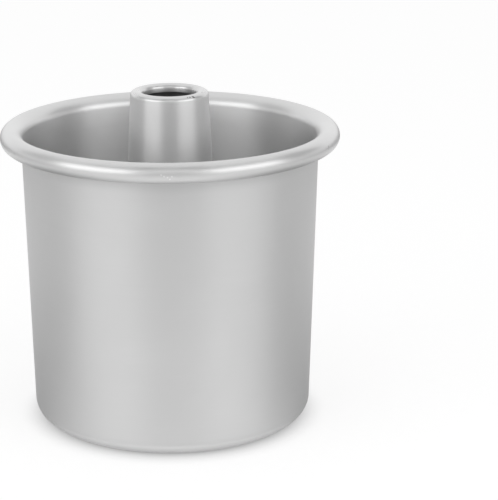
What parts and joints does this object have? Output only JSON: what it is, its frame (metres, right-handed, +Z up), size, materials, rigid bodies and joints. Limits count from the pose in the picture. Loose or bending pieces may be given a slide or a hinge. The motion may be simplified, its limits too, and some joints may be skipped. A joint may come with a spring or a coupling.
{
  "type": "round cake pan with removable bottom",
  "caption": "Tall tapered round cake pan with a rolled rim and a loose base that lifts out, carrying a conical centre tube that is open right through.",
  "frame": {"origin": "on the pan's axis, at the height of the ledge's underside, which is the surface that the pan stands on", "axes": "+Z up along the axis of the pan and its tube, towards the mouth; X and Y are free, because the pan is round"},
  "size_m": [0.1756, 0.1756, 0.174],
  "materials": {
    "shell_satin": "satin anodised",
    "plate_satin": "satin anodised",
    "tube_satin": "satin anodised, with a polished top ring"
  },
  "bodies": {
    "pan": {"pan_shell": "shell_satin"},
    "base": {"base_plate": "plate_satin", "centre_tube": "tube_satin"}
  },
  "joints": [
    {"name": "base_lift", "type": "slide", "parent": "pan", "child": "base", "axis": [0, 0, 1], "range_m": [0, 0.165]}
  ]
}
